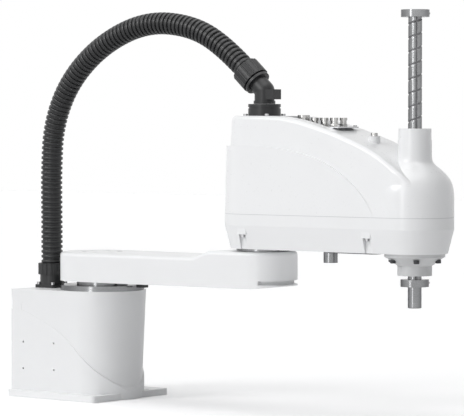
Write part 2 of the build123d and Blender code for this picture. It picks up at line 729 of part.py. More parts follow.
def spindle_housing():
    """Housing under the nose that carries the spline nut's bearings."""
    low = HUB_NOSE_FOOT
    profile = Polyline(
        (SPLINE_BORE_R, low + 3),
        (SPLINE_BORE_R, FLOOR_TOP),
        (SPIGOT_R, FLOOR_TOP),
        (SPIGOT_R, OUTER_BOTTOM),
        (SPINDLE_FLANGE_R, OUTER_BOTTOM),
        (SPINDLE_FLANGE_R, OUTER_BOTTOM - 5),
        (SPINDLE_FLANGE_R - 4, OUTER_BOTTOM - 7),
        (HUB_NOSE_R + 4, low + 17),
        (HUB_NOSE_R, low + 14),
        (HUB_NOSE_R, low),
        (SHAFT_R + 2, low),
        (SHAFT_R + 2, low + 3),
        close=True,
    )
    return only(Pos(TOOL_X, 0, 0) * revolve(Plane.XZ * make_face(profile), Axis.Z))


def spline_bearing(low):
    """Bearing ring between the spindle housing and the spline nut."""
    return only(
        ring(SPLINE_BORE_R - SEAT, SPLINE_NUT_R + SLIDE_FIT, low, low + BEARING_WIDTH, TOOL_X)
    )


def elbow_motor():
    """Elbow motor standing on the outer arm's floor."""
    return only(block(56, 56, FLOOR_TOP, FLOOR_TOP + 74, INNER_REACH, 0, 5))


def motor_bridge(x, leg_y, top):
    """Bridge that holds an axis motor over its belt: a plate on two side legs."""
    side = AXIS_MOTOR_SIDE
    plate = block(side, 2 * leg_y + BRIDGE_THICK, top - BRIDGE_THICK, top, x)
    legs = block(side, BRIDGE_THICK, FLOOR_TOP, top, x, leg_y)
    legs += block(side, BRIDGE_THICK, FLOOR_TOP, top, x, -leg_y)
    return only(plate + legs - disc(MOTOR_SHAFT_R + RUN, top - 2 * BRIDGE_THICK, top + 1, x))


def axis_motor(x, low, length):
    """Axis motor: square body with a round rear cap."""
    side = AXIS_MOTOR_SIDE
    return only(block(side, side, low, low + length, x, 0, 4) + disc(16, low, low + length + 5, x))


def nut_bridge():
    """Bridge over the spline nut's pulley that carries the screw nut's bearing."""
    top = LIFT_BELT_Z - 6
    plate = disc(40, top - BRIDGE_THICK, top, TOOL_X)
    legs = block(22, BRIDGE_THICK, FLOOR_TOP, top, TOOL_X, 36) + block(
        22, BRIDGE_THICK, FLOOR_TOP, top, TOOL_X, -36
    )
    return only(plate + legs - disc(SCREW_NUT_R + RUN, top - 20, top + 1, TOOL_X))


# Belts and pulleys


def belt(motor_x, low):
    """Closed timing belt from a motor's pulley to a nut's."""
    near, far = MOTOR_PULLEY_R + RUN, NUT_PULLEY_R + RUN
    outer = arm_plan(near + BELT_THICK, motor_x, far + BELT_THICK, TOOL_X)
    inner = arm_plan(near, motor_x, far, TOOL_X)
    return only(Pos(0, 0, low) * extrude(outer - inner, amount=BELT_WIDTH))


def pulley(teeth, low, bore_r, x):
    """Toothed belt pulley with a flange above and below the belt."""
    radius = teeth * TOOTH_PITCH / (2 * pi)
    top, rim = low + BELT_WIDTH, radius + PULLEY_FLANGE
    wheel = Circle(radius)
    for u, v in circle_places(teeth, radius):
        wheel -= Pos(u, v) * Circle(TOOTH_PITCH / 4)
    body = Pos(x, 0, low) * extrude(wheel, amount=BELT_WIDTH)
    body += disc(radius, low - RUN, low, x) + disc(radius, top, top + RUN, x)
    body += disc(rim, low - RUN - PULLEY_FLANGE_THICK, low - RUN, x)
    body += disc(rim, top + RUN, top + RUN + PULLEY_FLANGE_THICK, x)
    if bore_r:
        body -= disc(bore_r, low - BELT_WIDTH, top + BELT_WIDTH, x)
    return body


def motor_pulley(low, top, x):
    """Pulley on its motor's shaft, which reaches up through the bridge."""
    return only(pulley(MOTOR_PULLEY_TEETH, low, 0, x) + disc(MOTOR_SHAFT_R, low, top, x))


def spline_nut():
    """Turning nut that the shaft slides in, with its belt pulley above."""
    body = ring(SPLINE_NUT_R, SHAFT_R + SLIDE_FIT, HUB_NOSE_FOOT + 4, TURN_BELT_Z + 14, TOOL_X)
    body += ring(SPLINE_NUT_R + 5, SHAFT_R + SLIDE_FIT, FLOOR_TOP + RUN, TURN_BELT_Z - 2, TOOL_X)
    return only(body)


def screw_nut():
    """Ball screw nut that raises and lowers the shaft, carried in its bridge."""
    body = ring(SCREW_NUT_R, SHAFT_R + SLIDE_FIT, LIFT_BELT_Z - 10, LIFT_BELT_Z + 44, TOOL_X)
    body += ring(SCREW_NUT_R + 5, SHAFT_R + SLIDE_FIT, LIFT_BELT_Z - 6 + RUN, LIFT_BELT_Z - 2, TOOL_X)
    return only(body)


# Tool shaft


def tool_shaft():
    """Hollow shaft with straight spline grooves."""
    top = SHAFT_FOOT + SHAFT_LENGTH
    body = ring(SHAFT_R, SHAFT_BORE_R, SHAFT_FOOT, top, TOOL_X)
    body = chamfer(body.edges().filter_by(GeomType.CIRCLE).filter_by(
        lambda e: abs(e.radius - SHAFT_R) < 0.01), 0.8)
    relief_top = LOWER_COLLAR_BASE - RELIEF_GAP
    body -= ring(SHAFT_R + 1, SHAFT_R - RELIEF_DEPTH, relief_top - RELIEF_WIDTH, relief_top, TOOL_X)
    for x, y in circle_places(3, SHAFT_R + 0.5, TOOL_X, 0, 200):
        body -= disc(GROOVE_R, LOWER_COLLAR_BASE, top + 1, x, y)
    return only(body)


def shaft_collar(low):
    """Split clamp collar on the shaft, with its pinch screw hole and slit."""
    body = ring(COLLAR_R, SHAFT_R + SLIDE_FIT, low, low + COLLAR_THICK, TOOL_X)
    middle = low + COLLAR_THICK / 2
    body -= Pos(TOOL_X, COLLAR_R / 2, middle) * Box(1.2, COLLAR_R + 2, COLLAR_THICK + 2)
    pinch = Pos(TOOL_X, 0.74 * COLLAR_R, middle) * Rot(0, 90, 0) * Cylinder(1.7, 3 * COLLAR_R)
    body -= pinch
    return only(body)


# Cable hose and fittings


def hose_plane():
    """Upright plane through the hose's foot and the elbow axis."""
    return Plane(
        origin=(HOSE_FOOT_X, HOSE_FOOT_Y, 0),
        x_dir=(INNER_REACH - HOSE_FOOT_X, -HOSE_FOOT_Y, 0),
        z_dir=(-HOSE_FOOT_Y, HOSE_FOOT_X - INNER_REACH, 0),
    )


def hose_span():
    """Distance from the hose's foot to the elbow axis, seen from above."""
    return hypot(INNER_REACH - HOSE_FOOT_X, HOSE_FOOT_Y)


def hose_route():
    """The hose's route in its own upright plane: out from the foot, and height."""
    slope = radians(ELBOW_TILT)
    end = (hose_span() - HOSE_SOCKET * cos(slope), ELBOW_HEIGHT + HOSE_SOCKET * sin(slope))
    lead = (end[0] - HOSE_LEAD * cos(slope), end[1] + HOSE_LEAD * sin(slope))
    foot = HOSE_FOOT + RUN
    rise = ELBOW_HEIGHT - foot
    arch = [(along * hose_span(), foot + up * rise) for along, up in HOSE_ARCH]
    return [(0, foot), *arch, lead, end]


def hose_bends(points):
    """The largest tangent arc that each corner of a route allows."""
    radii = []
    for before, corner, after in zip(points, points[1:], points[2:]):
        run_in = Vector(*corner) - Vector(*before)
        run_out = Vector(*after) - Vector(*corner)
        turn = radians(run_in.get_angle(run_out))
        radii.append(0.45 * min(run_in.length, run_out.length) / tan(turn / 2))
    return radii


def cable_hose():
    """Cable hose from the base to the outer arm, a plain tube of runs and arcs."""
    points = hose_route()
    radii = hose_bends(points)
    path = hose_plane() * FilletPolyline(*points, radius=radii)
    section = Plane(origin=path @ 0, z_dir=path % 0) * Circle(HOSE_R)
    hose = only(sweep(section, path=path))
    print("hose bend radii", [round(r) for r in radii], "length", round(path.length, 1))
    print("hose volume over section times length", round(hose.volume / (pi * HOSE_R**2 * path.length), 4))
    return hose


def hose_foot_gland():
    """Square flange and threaded neck that the hose stands on at the base."""
    side, top = FOOT_FLANGE_SIDE, BASE_TOP + FOOT_FLANGE_THICK
    body = block(side, side, BASE_TOP, top, HOSE_FOOT_X, HOSE_FOOT_Y, 4)
    body += disc(NUT_R - 3, top, FOOT_NUT_BASE, HOSE_FOOT_X, HOSE_FOOT_Y)
    body -= disc(HOSE_R - 4, BASE_TOP - 1, FOOT_NUT_BASE + 1, HOSE_FOOT_X, HOSE_FOOT_Y)
    for x, y in foot_screw_places():
        body -= disc(FOOT_SCREW / 2 + SEAT, BASE_TOP - 1, top + 1, x, y)
        body -= disc(0.75 * FOOT_SCREW + 2 * SEAT, top, top + FOOT_SCREW + 1, x, y)
    return only(body)


def foot_screw_places():
    """Corner places of the foot flange's screws."""
    reach = FOOT_FLANGE_SIDE / 2 - FOOT_SCREW_EDGE
    for x in (-reach, reach):
        for y in (-reach, reach):
            yield HOSE_FOOT_X + x, HOSE_FOOT_Y + y


def hose_foot_screws():
    """Socket head screws at the corners of the foot flange."""
    top = BASE_TOP + FOOT_FLANGE_THICK + FOOT_SCREW
    return [only(cap_screw(FOOT_SCREW, FOOT_FLANGE_THICK, top, x, y)) for x, y in foot_screw_places()]


def fluted_nut(low, high, bore_r):
    """Hand nut with shallow flutes, standing on the origin's axis."""
    plan = Circle(NUT_R)
    for x, y in circle_places(NUT_FLUTES, NUT_R + 0.6):
        plan -= Pos(x, y) * Circle(1.6)
    return Pos(0, 0, low) * extrude(plan - Circle(bore_r), amount=high - low)


def hose_foot_nut():
    """Hand nut that the hose is held by at the base."""
    return only(Pos(HOSE_FOOT_X, HOSE_FOOT_Y, 0) * fluted_nut(FOOT_NUT_BASE, HOSE_FOOT, HOSE_R - 4))


def elbow_gland():
    """Round gland on top of the cover, on the elbow axis."""
    body = ring(GLAND_R, HOSE_R - 4, COVER_TOP, COVER_TOP + 11, INNER_REACH)
    body += ring(GLAND_R - 1.2, HOSE_R - 4, COVER_TOP + 11, COVER_TOP + 13, INNER_REACH)
    return only(body + ring(GLAND_R, HOSE_R - 4, COVER_TOP + 13, GLAND_TOP, INNER_REACH))


def elbow_frame():
    """Plane at the bend of the hose elbow whose normal points at the hose."""
    slope = radians(ELBOW_TILT)
    flat = Vector(HOSE_FOOT_X - INNER_REACH, HOSE_FOOT_Y, 0).normalized()
    aim = flat * cos(slope) + Vector(0, 0, sin(slope))
    return Plane(origin=(INNER_REACH, 0, ELBOW_HEIGHT), z_dir=aim)


def hose_elbow():
    """Swivelling elbow between the gland and the hose's nut."""
    body = disc(ELBOW_TUBE_R + 1.4, GLAND_TOP + RUN, GLAND_TOP + 5, INNER_REACH)
    body += disc(ELBOW_TUBE_R, GLAND_TOP + 5, ELBOW_HEIGHT, INNER_REACH)
    body += Pos(INNER_REACH, 0, ELBOW_HEIGHT) * Sphere(ELBOW_TUBE_R)
    body += elbow_frame() * disc(ELBOW_TUBE_R, 0, ELBOW_NUT_START)
    body += elbow_frame() * disc(NUT_R - 1.5, ELBOW_NUT_START - 6, ELBOW_NUT_START - 2)
    body += Pos(INNER_REACH + LATCH_X, LATCH_Y, ELBOW_HEIGHT - LATCH_DROP) * Box(*LATCH_SIZE)
    return only(body)


def hose_elbow_nut():
    """Hand nut that holds the hose on the elbow."""
    nut = fluted_nut(ELBOW_NUT_START, HOSE_SOCKET + 8, HOSE_R - 4)
    nut -= disc(HOSE_R + RUN, HOSE_SOCKET, HOSE_SOCKET + 9)
    return only(elbow_frame() * nut)


# Deck


def deck_plate():
    """Metal plate in the deck's recess, which the fittings stand on."""
    return only(deck_frame() * block(DECK_LENGTH - 2, DECK_WIDTH - 2, 0, DECK_PLATE_THICK, corner=3))


def deck_air_fittings():
    """Two rows of push-in air fittings on the deck plate."""
    fittings, low = [], DECK_PLATE_THICK
    for i in range(6):
        x, y = DECK_FITTING_START + DECK_FITTING_PITCH * (i // 2), DECK_FITTING_ROW * (i % 2 - 0.5)
        body = Pos(x, y, low) * extrude(RegularPolygon(6.5, 6), amount=4)
        body += disc(4.6, low + 4, low + 9, x, y) + disc(5.6, low + 9, low + 13, x, y)
        fittings.append(only(deck_frame() * (body - disc(3, low + 4, low + 14, x, y))))
    return fittings


def deck_connector():
    """Round multi-pin connector on the deck plate."""
    x, low = DECK_CONNECTOR_X, DECK_PLATE_THICK
    body = block(22, 22, low, low + 3, x, 0, 2) + disc(9, low + 3, low + 17, x)
    body += disc(10, low + 8, low + 12, x) - disc(7.2, low + 6, low + 18, x)
    for u, v in circle_places(6, 4, x):
        body += disc(0.8, low + 6, low + 13, u, v)
    return only(deck_frame() * body)


def brake_button():
    """Brake release button, which is pressed down into its boss."""
    low = BUTTON_SEAT + BUTTON_TRAVEL + 0.5
    body = disc(BUTTON_R, low, BUTTON_SEAT + BUTTON_GUIDE + 5, BUTTON_X)
    return only(fillet(body.edges().group_by(Axis.Z)[-1], 1.2))


def elbow_stop_pin():
    """Stop pin under the outer arm that meets the inner arm's side."""
    return only(disc(STOP_PIN_R, INNER_TOP - 3.5, OUTER_BOTTOM, STOP_PIN_X))


def belly_plate():
    """Thin service plate under the outer arm."""
    low = OUTER_BOTTOM - BELLY_THICK
    return only(block(BELLY_LENGTH, BELLY_WIDTH, low, OUTER_BOTTOM, BELLY_X, 0, 8))


def nodes():
    """Every sub-part by its name."""
    lift_top = LIFT_BELT_Z + BELT_WIDTH + 10
    turn_top = TURN_BELT_Z + BELT_WIDTH + 10
    return {
        "base_casting": base_casting,
        "base_rear_panel": rear_panel,
        "base_panel_screws": panel_screws,
        "power_connector": lambda: panel_connector(34, 22, 12, 4, 34, 104),
        "signal_connector": lambda: panel_connector(44, 16, 9, 9, -26, 104),
        "base_air_fittings": panel_air_fittings,
        "shoulder_motor": shoulder_motor,
        "shoulder_reducer_ring": shoulder_reducer,
        "shoulder_ring_screws": shoulder_ring_screws,
        "hose_foot_gland": hose_foot_gland,
        "hose_foot_screws": hose_foot_screws,
        "hose_foot_nut": hose_foot_nut,
        "shoulder_output_hub": shoulder_hub,
        "inner_arm_casting": inner_arm,
        "inner_arm_screws": inner_arm_screws,
        "inner_arm_cover": inner_cover,
        "shoulder_stop_block": shoulder_stop,
        "elbow_reducer_ring": elbow_reducer,
        "cable_hose": cable_hose,
        "elbow_output_hub": elbow_hub,
        "outer_arm_casting": outer_casting,
        "outer_arm_cover": outer_cover,
        "cover_screws": cover_screws,
        "neck_cap": neck_cap,
        "spindle_housing": spindle_housing,
        "spline_bearing_lower": lambda: spline_bearing(HUB_NOSE_FOOT + 4),
        "spline_bearing_upper": lambda: spline_bearing(FLOOR_TOP - BEARING_WIDTH - 1),
        "elbow_motor": elbow_motor,
        "turn_motor": lambda: axis_motor(TURN_MOTOR_X, turn_top, 52),
        "turn_motor_bridge": lambda: motor_bridge(TURN_MOTOR_X, 25, turn_top),
        "lift_motor": lambda: axis_motor(LIFT_MOTOR_X, lift_top, 56),
        "lift_motor_bridge": lambda: motor_bridge(LIFT_MOTOR_X, 31, lift_top),
        "screw_nut_bridge": nut_bridge,
        "turn_belt": lambda: belt(TURN_MOTOR_X, TURN_BELT_Z),
        "lift_belt": lambda: belt(LIFT_MOTOR_X, LIFT_BELT_Z),
        "turn_motor_pulley": lambda: motor_pulley(TURN_BELT_Z, turn_top, TURN_MOTOR_X),
        "lift_motor_pulley": lambda: motor_pulley(LIFT_BELT_Z, lift_top, LIFT_MOTOR_X),
        "spline_nut": spline_nut,
        "spline_nut_pulley": lambda: only(
            pulley(NUT_PULLEY_TEETH, TURN_BELT_Z, SPLINE_NUT_R + SEAT, TOOL_X)
        ),
        "screw_nut": screw_nut,
        "screw_nut_pulley": lambda: only(
            pulley(NUT_PULLEY_TEETH, LIFT_BELT_Z, SCREW_NUT_R + SEAT, TOOL_X)
        ),
        "tool_shaft": tool_shaft,
        "shaft_upper_collar": lambda: shaft_collar(SHAFT_FOOT + SHAFT_LENGTH - COLLAR_THICK),
        "shaft_lower_collar": lambda: shaft_collar(LOWER_COLLAR_BASE),
        "elbow_gland": elbow_gland,
        "hose_elbow": hose_elbow,
        "hose_elbow_nut": hose_elbow_nut,
        "deck_plate": deck_plate,
        "deck_air_fittings": deck_air_fittings,
        "deck_connector": deck_connector,
        "brake_button": brake_button,
        "elbow_stop_pin": elbow_stop_pin,
        "belly_plate": belly_plate,
    }


def main():
    """Build every sub-part and write it to its own file."""
    for name, make in nodes().items():
        shape = make()
        if isinstance(shape, list):
            shape = Compound(children=shape)
        export_step(shape, f"parts/{name}.step")


main()
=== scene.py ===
import bpy
import json
from math import acos, cos, hypot, pi, radians, sin, sqrt
from mathutils import Matrix, Vector

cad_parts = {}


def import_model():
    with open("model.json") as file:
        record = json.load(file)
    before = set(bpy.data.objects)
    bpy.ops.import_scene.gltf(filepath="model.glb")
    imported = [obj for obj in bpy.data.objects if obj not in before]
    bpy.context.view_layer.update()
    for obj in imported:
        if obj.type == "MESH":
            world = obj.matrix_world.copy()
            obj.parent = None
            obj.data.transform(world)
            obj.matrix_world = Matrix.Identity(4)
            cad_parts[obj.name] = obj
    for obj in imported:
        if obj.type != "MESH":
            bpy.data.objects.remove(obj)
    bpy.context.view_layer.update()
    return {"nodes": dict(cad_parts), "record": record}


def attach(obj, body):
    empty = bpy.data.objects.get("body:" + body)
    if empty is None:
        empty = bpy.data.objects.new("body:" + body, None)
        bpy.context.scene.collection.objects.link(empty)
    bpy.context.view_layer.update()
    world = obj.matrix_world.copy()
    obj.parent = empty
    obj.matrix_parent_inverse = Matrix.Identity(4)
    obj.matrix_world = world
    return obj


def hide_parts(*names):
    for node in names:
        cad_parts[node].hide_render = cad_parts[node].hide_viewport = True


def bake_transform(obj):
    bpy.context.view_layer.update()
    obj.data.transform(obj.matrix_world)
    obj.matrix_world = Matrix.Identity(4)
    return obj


# Four-axis arm robot: materials, ribbed hose, grooved shaft, screws and light.
# Metres throughout, in the same frame as the CAD: Z is up, X runs along the arms to the
# tool shaft, and the origin is where the shoulder axis meets the mounting face.

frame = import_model()

# Named places, the same as in the part's source
ELBOW_X = 0.325
TOOL_X = 0.6
SEAM = 0.296
COVER_TOP = 0.442
HOSE_FOOT = (-0.098, -0.010)

UP, DOWN, FORWARD, ASIDE = Vector((0, 0, 1)), Vector((0, 0, -1)), Vector((1, 0, 0)), Vector((0, 1, 0))


# Node trees


def socket(node, name, value):
    """Set an input of a node, by name or number, or link one to it."""
    if isinstance(value, bpy.types.NodeSocket):
        node.id_data.links.new(value, node.inputs[name])
    else:
        node.inputs[name].default_value = value


def node(tree, kind, **inputs):
    """Add a node, with its inputs set by name."""
    made = tree.nodes.new(kind)
    for name, value in inputs.items():
        socket(made, name.replace("_", " "), value)
    return made


def calculate(tree, operation, first, second):
    """The result of a Math node over two values or outputs."""
    made = node(tree, "ShaderNodeMath")
    made.operation = operation
    socket(made, 0, first)
    socket(made, 1, second)
    return made.outputs[0]


def noise(tree, scale, detail=2.0, stretch=(1, 1, 1)):
    """Noise over the piece's own coordinates, stretched to lay a grain along one direction."""
    source = tree.nodes.new("ShaderNodeTexCoord")
    place = node(tree, "ShaderNodeMapping", Vector=source.outputs["Object"], Scale=stretch)
    made = node(tree, "ShaderNodeTexNoise", Vector=place.outputs["Vector"], Scale=scale, Detail=detail)
    return made.outputs["Fac"]


# Noise lies mostly between these two, so colours and roughness are spread over that range
NOISE_LOW, NOISE_HIGH = 0.3, 0.7


def between(tree, factor, low, high):
    """A number that goes from low to high with the noise."""
    made = node(tree, "ShaderNodeMapRange", Value=factor, From_Min=NOISE_LOW, From_Max=NOISE_HIGH,
                To_Min=low, To_Max=high)
    return made.outputs["Result"]


def tint(tree, factor, dark, light):
    """A colour between two, by the noise."""
    ramp = node(tree, "ShaderNodeValToRGB", Fac=factor)
    for stop, at, color in zip(ramp.color_ramp.elements, (NOISE_LOW, NOISE_HIGH), (dark, light)):
        stop.position = at
        stop.color = (*color, 1)
    return ramp.outputs["Color"]


COAT_ROUGHNESS = 0.12
RELIEF_DEPTH = 0.0004


def material(name, color, rough, metallic=0.0, coat=0.0, mottle=0.04, mottle_scale=9.0, grain=900.0,
             stretch=(1, 1, 1), bump=0.05, rough_vary=0.05, edge=None):
    """A surface whose colour, roughness and fine relief all vary a little over the piece.

    Metal may also take painted shade: a darker colour where it turns away from the eye, standing in
    for the dark reflections that ground bars show in a studio.
    """
    made = bpy.data.materials.new(name)
    made.use_nodes = True
    tree = made.node_tree
    shader = tree.nodes["Principled BSDF"]
    cloud = noise(tree, mottle_scale, 3.0)
    fine = noise(tree, grain, 3.0, stretch)
    dark = tuple(c * (1 - mottle) for c in color)
    light = tuple(min(1, c * (1 + 0.5 * mottle)) for c in color)
    surface = tint(tree, cloud, dark, light)
    # Painted shade: where edge is given, the colour goes towards it as the surface turns away from the
    # eye
    if edge:
        painted_shade_weight = node(tree, "ShaderNodeLayerWeight", Blend=0.5)
        blend = node(tree, "ShaderNodeMixRGB", Fac=painted_shade_weight.outputs["Facing"], Color1=surface,
                     Color2=(*edge, 1))
        surface = blend.outputs["Color"]
    socket(shader, "Base Color", surface)
    socket(shader, "Metallic", metallic)
    socket(shader, "Coat Weight", coat)
    socket(shader, "Coat Roughness", COAT_ROUGHNESS)
    socket(shader, "Roughness", between(tree, fine, rough - rough_vary, rough + rough_vary))
    relief = node(tree, "ShaderNodeBump", Strength=bump, Distance=RELIEF_DEPTH, Height=fine)
    socket(shader, "Normal", relief.outputs["Normal"])
    return made


MATERIALS = {
    "white_casting": material(
        "white_paint", (0.845, 0.85, 0.858), 0.38, coat=0.2, mottle=0.012, grain=450, bump=0.03),
    "white_cover": material(
        "white_plastic", (0.855, 0.86, 0.868), 0.3, coat=0.3, mottle=0.008, grain=300, bump=0.006,
        rough_vary=0.03),
    # Ground steel: its edge colour is painted shade, darker where the bar turns away, standing in for
    # dark reflections
    "ground_steel": material(
        "ground_steel", (0.34, 0.345, 0.35), 0.2, metallic=1, mottle=0.1, mottle_scale=60, grain=50,
        stretch=(1, 1, 30), bump=0.04, rough_vary=0.06, edge=(0.05, 0.05, 0.055)),
    # Screw steel: its edge colour is painted shade, darker where the head turns away from the eye
    "screw_steel": material(
        "zinc_steel", (0.55, 0.55, 0.56), 0.3, metallic=1, mottle=0.2, mottle_scale=400,
        edge=(0.08, 0.08, 0.08)),
    "bare_aluminium": material(
        "machined_aluminium", (0.5, 0.505, 0.515), 0.36, metallic=1, mottle=0.08, grain=50,
        stretch=(1, 30, 1), bump=0.06, rough_vary=0.06),
    "motor_black": material(
        "motor_paint", (0.035, 0.036, 0.04), 0.5, mottle=0.2, grain=700, bump=0.25),
    "black_polymer": material(
        "black_polymer", (0.014, 0.0145, 0.0155), 0.38, mottle=0.2, mottle_scale=40, grain=1300,
        bump=0.12),
    "hose_polymer": material(
        "hose_polymer", (0.012, 0.0125, 0.0135), 0.36, mottle=0.25, mottle_scale=30, grain=1500,
        bump=0.08, rough_vary=0.08),
    "belt_rubber": material("belt_rubber", (0.022, 0.022, 0.022), 0.75, mottle=0.3, bump=0.3),
    # Nickel: its edge colour is painted shade, darker where the fitting turns away, standing in for
    # dark reflections
    "nickel_fittings": material(
        "nickel", (0.6, 0.595, 0.585), 0.18, metallic=1, mottle=0.15, mottle_scale=200, bump=0.03,
        edge=(0.04, 0.04, 0.04)),
}
# Darker steel for the faces inside the shaft's grooves: painted shade in the grooves
GROOVE_SHADE_STEEL = material(
    "painted_groove_shade", (0.17, 0.17, 0.175), 0.3, metallic=1, mottle=0.15, mottle_scale=80, bump=0.03)
CAST_GREY = material("cast_grey", (0.6, 0.605, 0.61), 0.42, mottle=0.03, grain=700, bump=0.1)
DARK_SEAL = material("dark_seal", (0.1, 0.1, 0.105), 0.6, mottle=0.2, grain=600, bump=0.2)
SEAM_LINE = material("seam_line", (0.66, 0.67, 0.68), 0.6, mottle=0.1)


# Meshes


def set_sharp(mesh, angle):
    """Mark the edges that bend by more than an angle, in degrees, as sharp."""
    normals = {}
    for face in mesh.polygons:
        for key in face.edge_keys:
            normals.setdefault(key, []).append(face.normal)
    for edge in mesh.edges:
        sides = normals.get(edge.key, [])
        edge.use_edge_sharp = len(sides) != 2 or sides[0].angle(sides[1], 0) > radians(angle)


def new_mesh(name, points, faces):
    """A new object of a mesh, linked to the scene."""
    mesh = bpy.data.meshes.new(name)
    mesh.from_pydata([tuple(p) for p in points], [], faces)
    mesh.validate()
    mesh.update()
    piece = bpy.data.objects.new(name, mesh)
    bpy.context.scene.collection.objects.link(piece)
    return piece


def dress(piece, surface, sharp, body=None):
    """Give a new piece its material, its shading and the body that it rides on."""
    piece.data.materials.append(surface)
    piece.data.shade_smooth()
    set_sharp(piece.data, sharp)
    if body:
        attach(piece, body)
    return piece


def ring_of(place, across, other, count, reach):
    """Points round a place: reach gives the radius at each angle."""
    ring = []
    for i in range(count):
        angle = 2 * pi * i / count
        radius = reach(angle)
        ring.append(place + across * radius * cos(angle) + other * radius * sin(angle))
    return ring


def skin(rings, capped=True, offset=0):
    """Points, and the faces that join rings of equal length, with a cap at either end if asked."""
    count = len(rings[0])
    faces = []
    for k in range(len(rings) - 1):
        low, high = offset + k * count, offset + (k + 1) * count
        for i in range(count):
            j = (i + 1) % count
            faces.append((low + i, low + j, high + j, high + i))
    if capped:
        last = offset + (len(rings) - 1) * count
        faces.append(tuple(reversed(range(offset, offset + count))))
        faces.append(tuple(range(last, last + count)))
    return [p for ring in rings for p in ring], faces


# Screws

HEAD_SIDES = 24
HEAD_SHARP = 30


def hexagon(size, angle):
    """Distance from the centre to the side of a hexagon, at an angle."""
    sector = (angle + pi / 6) % (pi / 3) - pi / 6
    return size / cos(sector)


def cap_heads(name, places, radius, height, surface, body):
    """Socket heads standing on the given places: (point, axis) for each."""
    edge, wrench = 0.12 * radius, 0.5 * radius
    profile = (
        (0, radius, False), (height - edge, radius, False), (height, radius - edge, False),
        (height, wrench, True), (0.4 * height, wrench, True),
    )
    points, faces = [], []
    for place, axis in places:
        turn = Matrix.Translation(place) @ axis.to_track_quat("Z", "Y").to_matrix().to_4x4()
        rings = []
        for level, size, hexed in profile:
            ring = ring_of(UP * level, FORWARD, ASIDE, HEAD_SIDES,
                           lambda angle: hexagon(size, angle) if hexed else size)
            rings.append([turn @ p for p in ring])
        more, sides = skin(rings, offset=len(points))
        points += more
        faces += sides
    dress(new_mesh(name, points, faces), surface, HEAD_SHARP, body)


def ring_places(count, radius, centre, start, axis):
    """Places on a circle for cap_heads, the first at an angle in degrees."""
    for i in range(count):
        angle = radians(start) + 2 * pi * i / count
        yield centre + Vector((radius * cos(angle), radius * sin(angle), 0)), axis


# Cable hose

# Control points of the hose's line: distance out from its foot towards the elbow, and height
HOSE_ROUTE = [
    (0, 0.2083), (0, 0.275), (-0.001, 0.350), (0.004, 0.430), (0.040, 0.500), (0.108, 0.556),
    (0.197, 0.588), (0.287, 0.579), (0.3518, 0.5442), (0.3934, 0.5068),
]
HOSE_R = 0.017
HOSE_SIDES = 56
HOSE_SHARP = 60
RIB_PITCH = 0.0078
RIB_DEPTH = 0.0021
# One rib: share of the pitch, and share of the depth there
RIB_SHAPE = [
    (0.0, 0.7), (0.03, 0.12), (0.07, 0.0), (0.3, 0.0), (0.53, 0.0), (0.57, 0.12), (0.6, 0.7),
    (0.64, 1.0), (0.96, 1.0),
]


def hose_line():
    """Points along the hose's smooth line, read from its route's spline."""
    foot, elbow = Vector((*HOSE_FOOT, 0)), Vector((ELBOW_X, 0, 0))
    toward = (elbow - foot).normalized()
    data = bpy.data.curves.new("hose_route", "CURVE")
    data.dimensions = "3D"
    data.resolution_u = 64
    spline = data.splines.new("NURBS")
    spline.points.add(len(HOSE_ROUTE) - 1)
    for point, (out, height) in zip(spline.points, HOSE_ROUTE):
        point.co = (*(foot + toward * out + UP * height), 1)
    spline.order_u = 3
    spline.use_endpoint_u = True
    carrier = bpy.data.objects.new("hose_route", data)
    mesh = bpy.data.meshes.new_from_object(carrier)
    line = [v.co.copy() for v in mesh.vertices]
    bpy.data.objects.remove(carrier)
    bpy.data.meshes.remove(mesh)
    return line


def places_along(line, distances):
    """Places and directions at rising distances along a line."""
    out, start, k = [], 0.0, 0
    for distance in distances:
        while k < len(line) - 2 and distance > start + (line[k + 1] - line[k]).length:
            start += (line[k + 1] - line[k]).length
            k += 1
        run = line[k + 1] - line[k]
        before, after = line[max(0, k - 1)], line[min(len(line) - 1, k + 2)]
        place = line[k] + run * min(1, (distance - start) / run.length)
        out.append((place, (after - before).normalized()))
    return out


def ribbed_hose():
    """Corrugated conduit: flat-topped ribs with a groove between each pair."""
    line = hose_line()
    length = sum((b - a).length for a, b in zip(line, line[1:]))
    ribs = round(length / RIB_PITCH)
    distances = [(rib + share) / ribs * length for rib in range(ribs) for share, _ in RIB_SHAPE]
    radii = [HOSE_R - sunk * RIB_DEPTH for _, sunk in RIB_SHAPE] * ribs
    rings = []
    for (place, along), radius in zip(places_along(line, distances), radii):
        side = ASIDE.cross(along).normalized()
        other = along.cross(side).normalized()
        rings.append(ring_of(place, side, other, HOSE_SIDES, lambda angle: radius))
    hose = dress(new_mesh("ribbed_hose", *skin(rings)), MATERIALS["hose_polymer"],
                 HOSE_SHARP)
    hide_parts("cable_hose")
    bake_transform(hose)


# Camera first, because the cord rule measures what it sees

SENSOR = 36
FOCAL_PIXELS = 2759
FRAME_PIXELS = 464


def camera():
    """Camera at the photograph's place, angle and lens."""
    data = bpy.data.cameras.new("camera")
    data.sensor_fit = "HORIZONTAL"
    data.sensor_width = SENSOR
    data.lens = FOCAL_PIXELS / FRAME_PIXELS * SENSOR
    data.clip_end = 60
    made = bpy.data.objects.new("camera", data)
    bpy.context.scene.collection.objects.link(made)
    made.location = (2.883, -3.252, 0.4376)
    look = Vector((-0.6275, 0.7787, -89.3 / FOCAL_PIXELS))
    made.rotation_euler = look.to_track_quat("-Z", "Y").to_euler()
    bpy.context.scene.camera = made


camera()
ribbed_hose()

# Grooved tool shaft

